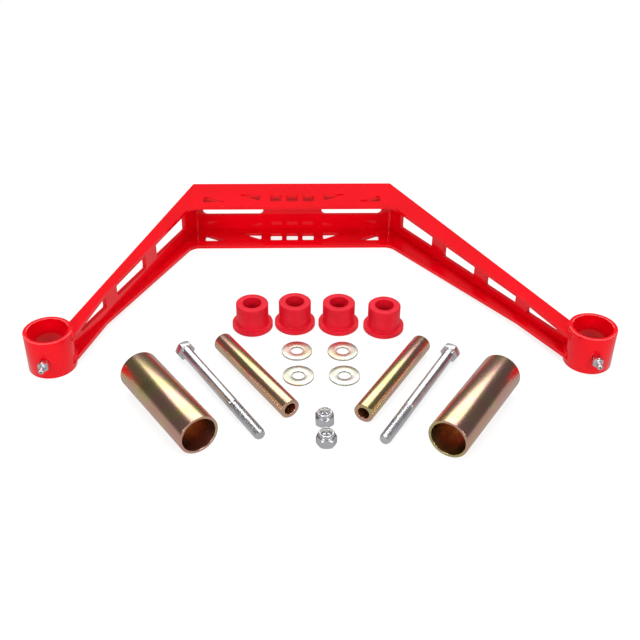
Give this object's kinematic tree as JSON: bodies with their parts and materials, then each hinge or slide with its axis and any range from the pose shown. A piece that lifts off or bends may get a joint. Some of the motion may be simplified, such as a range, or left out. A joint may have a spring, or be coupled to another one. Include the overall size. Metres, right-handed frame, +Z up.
{
  "type": "sway bar",
  "caption": "Fabricated I-beam sway bar in red with a tube ring at each end, laid out with its sleeves, bushings, bolts, washers and lock nuts.",
  "frame": {"origin": "centre of the whole layout's footprint, on the surface that the pieces lie on", "axes": "+X along the line through the two ring axes, towards the right ring; +Y from the loose pieces towards the straight middle of the bar; +Z up, along the ring axes"},
  "size_m": [0.6614, 0.4882, 0.0635],
  "materials": {
    "red_paint": "gloss powder coat",
    "red_polyurethane": "satin cast polyurethane",
    "gold_zinc": "yellow zinc, iridescent",
    "pale_zinc": "pale yellow zinc",
    "clear_zinc": "clear zinc",
    "spring_steel": "bright",
    "nylon": "natural nylon"
  },
  "bodies": {
    "bar": {"top_plate": "red_paint", "bottom_plate": "red_paint", "web": "red_paint", "left_ring": "red_paint", "right_ring": "red_paint", "left_grease_fitting": "clear_zinc", "right_grease_fitting": "clear_zinc", "left_check_spring": "spring_steel", "right_check_spring": "spring_steel"},
    "left_ball": {"left_check_ball": "spring_steel"},
    "right_ball": {"right_check_ball": "spring_steel"},
    "loose_bushing_1": {"bushing_1": "red_polyurethane"},
    "loose_bushing_2": {"bushing_2": "red_polyurethane"},
    "loose_bushing_3": {"bushing_3": "red_polyurethane"},
    "loose_bushing_4": {"bushing_4": "red_polyurethane"},
    "loose_washer_1": {"washer_1": "pale_zinc"},
    "loose_washer_2": {"washer_2": "pale_zinc"},
    "loose_washer_3": {"washer_3": "pale_zinc"},
    "loose_washer_4": {"washer_4": "pale_zinc"},
    "loose_nut_1": {"lock_nut_1": "clear_zinc", "nylon_insert_1": "nylon"},
    "loose_nut_2": {"lock_nut_2": "clear_zinc", "nylon_insert_2": "nylon"},
    "loose_left_bolt": {"left_bolt": "clear_zinc"},
    "loose_left_inner_sleeve": {"left_inner_sleeve": "gold_zinc"},
    "loose_left_outer_sleeve": {"left_outer_sleeve": "gold_zinc"},
    "loose_right_bolt": {"right_bolt": "clear_zinc"},
    "loose_right_inner_sleeve": {"right_inner_sleeve": "gold_zinc"},
    "loose_right_outer_sleeve": {"right_outer_sleeve": "gold_zinc"}
  },
  "joints": [
    {"name": "left_ball_lift", "type": "slide", "parent": "bar", "child": "left_ball", "axis": [0.061, 0.9981, 0], "range_m": [0, 0.0008], "stiffness_N_per_m": 200, "springref_m": -0.001, "deforming": ["left_check_spring"]},
    {"name": "right_ball_lift", "type": "slide", "parent": "bar", "child": "right_ball", "axis": [-0.0349, 0.9994, 0], "range_m": [0, 0.0008], "stiffness_N_per_m": 200, "springref_m": -0.001, "deforming": ["right_check_spring"]},
    {"name": "loose_bushing_1_lift_off", "type": "slide", "parent": "bar", "child": "loose_bushing_1", "axis": [0, 0, 1], "range_m": [0, 0.1]},
    {"name": "loose_bushing_2_lift_off", "type": "slide", "parent": "bar", "child": "loose_bushing_2", "axis": [0, 0, 1], "range_m": [0, 0.1]},
    {"name": "loose_bushing_3_lift_off", "type": "slide", "parent": "bar", "child": "loose_bushing_3", "axis": [0, 0, 1], "range_m": [0, 0.1]},
    {"name": "loose_bushing_4_lift_off", "type": "slide", "parent": "bar", "child": "loose_bushing_4", "axis": [0, 0, 1], "range_m": [0, 0.1]},
    {"name": "loose_washer_1_lift_off", "type": "slide", "parent": "bar", "child": "loose_washer_1", "axis": [0, 0, 1], "range_m": [0, 0.1]},
    {"name": "loose_washer_2_lift_off", "type": "slide", "parent": "bar", "child": "loose_washer_2", "axis": [0, 0, 1], "range_m": [0, 0.1]},
    {"name": "loose_washer_3_lift_off", "type": "slide", "parent": "bar", "child": "loose_washer_3", "axis": [0, 0, 1], "range_m": [0, 0.1]},
    {"name": "loose_washer_4_lift_off", "type": "slide", "parent": "bar", "child": "loose_washer_4", "axis": [0, 0, 1], "range_m": [0, 0.1]},
    {"name": "loose_nut_1_lift_off", "type": "slide", "parent": "bar", "child": "loose_nut_1", "axis": [0, 0, 1], "range_m": [0, 0.1]},
    {"name": "loose_nut_2_lift_off", "type": "slide", "parent": "bar", "child": "loose_nut_2", "axis": [0, 0, 1], "range_m": [0, 0.1]},
    {"name": "loose_left_bolt_lift_off", "type": "slide", "parent": "bar", "child": "loose_left_bolt", "axis": [0, 0, 1], "range_m": [0, 0.1]},
    {"name": "loose_left_inner_sleeve_lift_off", "type": "slide", "parent": "bar", "child": "loose_left_inner_sleeve", "axis": [0, 0, 1], "range_m": [0, 0.1]},
    {"name": "loose_left_outer_sleeve_lift_off", "type": "slide", "parent": "bar", "child": "loose_left_outer_sleeve", "axis": [0, 0, 1], "range_m": [0, 0.1]},
    {"name": "loose_right_bolt_lift_off", "type": "slide", "parent": "bar", "child": "loose_right_bolt", "axis": [0, 0, 1], "range_m": [0, 0.1]},
    {"name": "loose_right_inner_sleeve_lift_off", "type": "slide", "parent": "bar", "child": "loose_right_inner_sleeve", "axis": [0, 0, 1], "range_m": [0, 0.1]},
    {"name": "loose_right_outer_sleeve_lift_off", "type": "slide", "parent": "bar", "child": "loose_right_outer_sleeve", "axis": [0, 0, 1], "range_m": [0, 0.1]}
  ]
}
